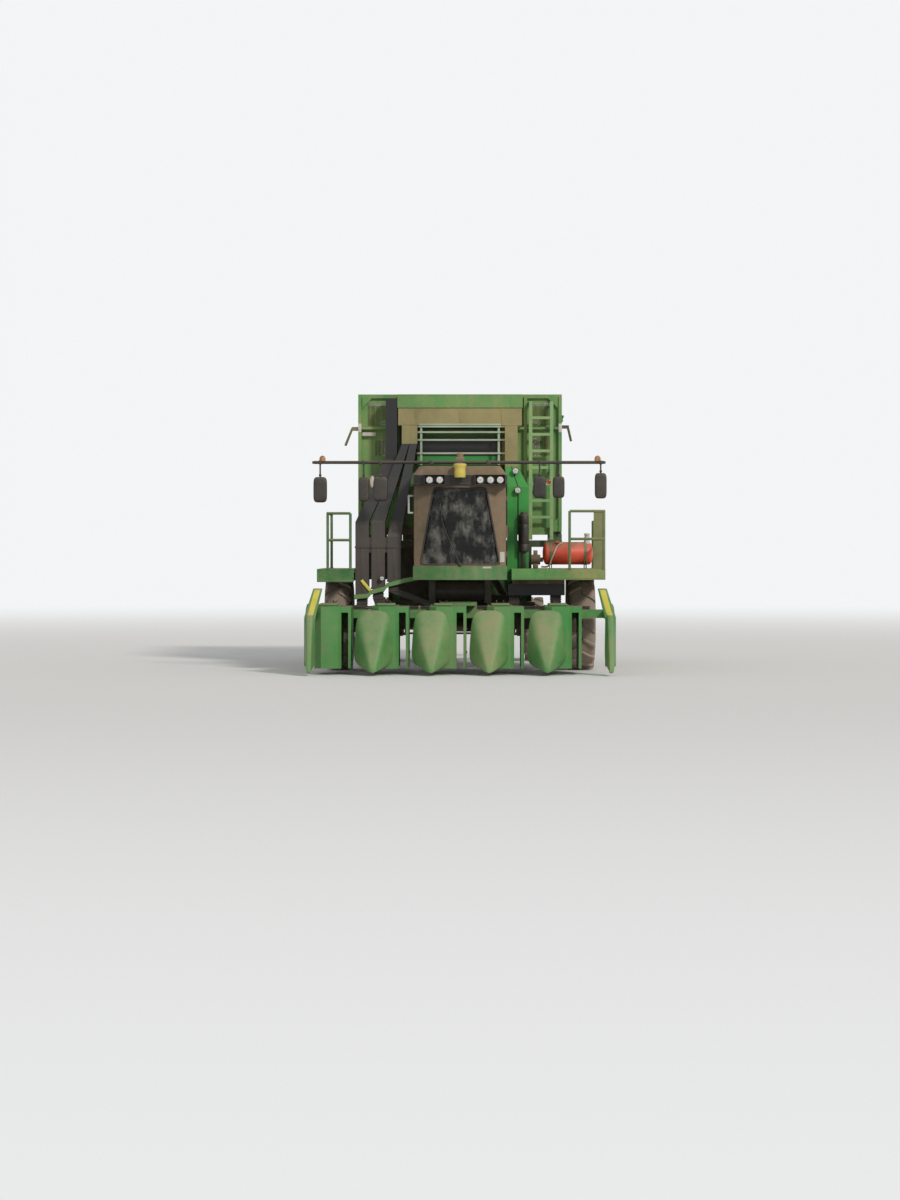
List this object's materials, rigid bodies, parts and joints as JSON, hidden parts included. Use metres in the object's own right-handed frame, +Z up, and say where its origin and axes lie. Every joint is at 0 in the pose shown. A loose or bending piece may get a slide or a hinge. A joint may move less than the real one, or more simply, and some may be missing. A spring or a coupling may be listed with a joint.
{
  "type": "self-propelled basket cotton picker",
  "caption": "Row-crop cotton picker with drum row units ahead of a raised cab, side decks, air ducts and a side-tipping basket.",
  "frame": {"origin": "on the ground, under the middle of the machine's bounding box", "axes": "+Z up, the header faces -Y, the machine's left side is +X"},
  "size_m": [5.4, 8.6, 4.99],
  "materials": {
    "green_paint": "dusty",
    "pale_green": "dusty",
    "duct_paint": "dusty",
    "tan_panel": "dusty",
    "dark_metal": "satin",
    "yellow_paint": "satin",
    "red_paint": "satin",
    "tank_plastic": "matte",
    "steel": "worn",
    "cast": "rough",
    "tyre": "dusty",
    "glass": "tinted",
    "lamp": "clear",
    "seat_cover": "woven",
    "black_plastic": "matte",
    "receiver": "dusty"
  },
  "bodies": {
    "machine": {"chassis": "green_paint", "basket_stand": "green_paint", "front_axle": "green_paint", "rear_axle": "green_paint", "engine": "cast", "engine_cover": "green_paint", "tanks": "tank_plastic", "fan_housing": "dark_metal", "duct_banks": "duct_paint", "duct_hood": "pale_green", "cab_base": "green_paint", "cab_shell": "tan_panel", "cab_roof": "tan_panel", "cab_glass": "glass", "seat": "seat_cover", "steering_console": "black_plastic", "lamps": "lamp", "beacon": "receiver", "mirror_bar": "dark_metal", "decks": "green_paint", "handrails": "green_paint", "access_ladder": "green_paint", "red_tank": "red_paint", "air_cleaner": "dark_metal"},
    "cab_door": {"cab_door": "tan_panel", "door_glass": "glass"},
    "header": {"header_frame": "green_paint", "unit_cabinets": "green_paint", "picker_drums": "steel", "row_snouts": "green_paint", "suction_ducts": "dark_metal"},
    "lift_barrels": {"lift_barrels": "dark_metal"},
    "lift_rods": {"lift_rods": "steel"},
    "basket": {"basket": "pale_green"},
    "basket_door": {"basket_door": "pale_green"},
    "tip_barrels": {"tip_barrels": "dark_metal"},
    "tip_rods": {"tip_rods": "steel"},
    "knuckle_left": {"knuckle_left": "cast"},
    "knuckle_right": {"knuckle_right": "cast"},
    "tie_rod": {"tie_rod": "dark_metal"},
    "wheel_front_left": {"tyre_front_left": "tyre", "rim_front_left": "yellow_paint"},
    "wheel_front_right": {"tyre_front_right": "tyre", "rim_front_right": "yellow_paint"},
    "wheel_rear_left": {"tyre_rear_left": "tyre", "rim_rear_left": "yellow_paint"},
    "wheel_rear_right": {"tyre_rear_right": "tyre", "rim_rear_right": "yellow_paint"}
  },
  "joints": [
    {"name": "front_wheel_left", "type": "hinge", "parent": "machine", "child": "wheel_front_left", "pos_m": [2.18, -1.5, 0.86], "axis": [1, 0, 0], "continuous": true},
    {"name": "front_wheel_right", "type": "hinge", "parent": "machine", "child": "wheel_front_right", "pos_m": [-2.18, -1.5, 0.86], "axis": [1, 0, 0], "continuous": true},
    {"name": "steer_left", "type": "hinge", "parent": "machine", "child": "knuckle_left", "pos_m": [1.15, 2.7, 0.62], "axis": [0, 0, 1], "range_deg": [-30, 30]},
    {"name": "steer_right", "type": "hinge", "parent": "machine", "child": "knuckle_right", "pos_m": [-1.15, 2.7, 0.62], "axis": [0, 0, 1], "range_deg": [-30, 30]},
    {"name": "tie_rod_turn", "type": "hinge", "parent": "knuckle_left", "child": "tie_rod", "pos_m": [1.15, 2.935, 0.522], "axis": [0, 0, 1], "range_deg": [-30, 30]},
    {"name": "rear_wheel_left", "type": "hinge", "parent": "knuckle_left", "child": "wheel_rear_left", "pos_m": [1.45, 2.7, 0.62], "axis": [1, 0, 0], "continuous": true},
    {"name": "rear_wheel_right", "type": "hinge", "parent": "knuckle_right", "child": "wheel_rear_right", "pos_m": [-1.45, 2.7, 0.62], "axis": [1, 0, 0], "continuous": true},
    {"name": "cab_door_swing", "type": "hinge", "parent": "machine", "child": "cab_door", "pos_m": [0.84, -1.9, 2.5], "axis": [0, 0, 1], "range_deg": [0, 80]},
    {"name": "header_lift", "type": "hinge", "parent": "machine", "child": "header", "pos_m": [0, -2.15, 0.86], "axis": [-1, 0, 0], "range_deg": [0, 12]},
    {"name": "lift_cylinder_swing", "type": "hinge", "parent": "machine", "child": "lift_barrels", "pos_m": [0, -1.94, 0.54], "axis": [-1, 0, 0], "range_deg": [0, 7.6]},
    {"name": "lift_cylinder_stroke", "type": "slide", "parent": "lift_barrels", "child": "lift_rods", "axis": [0, -0.9896, 0.1438], "range_m": [0, 0.0566]},
    {"name": "basket_tip", "type": "hinge", "parent": "machine", "child": "basket", "pos_m": [1.8, 0, 2.44], "axis": [0, 1, 0], "range_deg": [0, 50]},
    {"name": "basket_door_swing", "type": "hinge", "parent": "basket", "child": "basket_door", "pos_m": [1.882, 0, 4.61], "axis": [0, -1, 0], "range_deg": [0, 50]},
    {"name": "tip_cylinder_swing", "type": "hinge", "parent": "machine", "child": "tip_barrels", "pos_m": [0.9, 0, 1.16], "axis": [0, 1, 0], "range_deg": [0, 25.9]},
    {"name": "tip_cylinder_stroke", "type": "slide", "parent": "tip_barrels", "child": "tip_rods", "axis": [-0.4886, 0, 0.8725], "range_m": [0, 1.06]}
  ],
  "couplings": [
    {"joint": "steer_right", "follows": "steer_left", "ratio": 1},
    {"joint": "tie_rod_turn", "follows": "steer_left", "ratio": -1},
    {"joint": "lift_cylinder_swing", "follows": "header_lift", "ratio": 0.625},
    {"joint": "lift_cylinder_stroke", "follows": "header_lift", "m_per_rad": 0.2688},
    {"joint": "tip_cylinder_swing", "follows": "basket_tip", "ratio": 0.5154},
    {"joint": "tip_cylinder_stroke", "follows": "basket_tip", "m_per_rad": 1.2127}
  ]
}
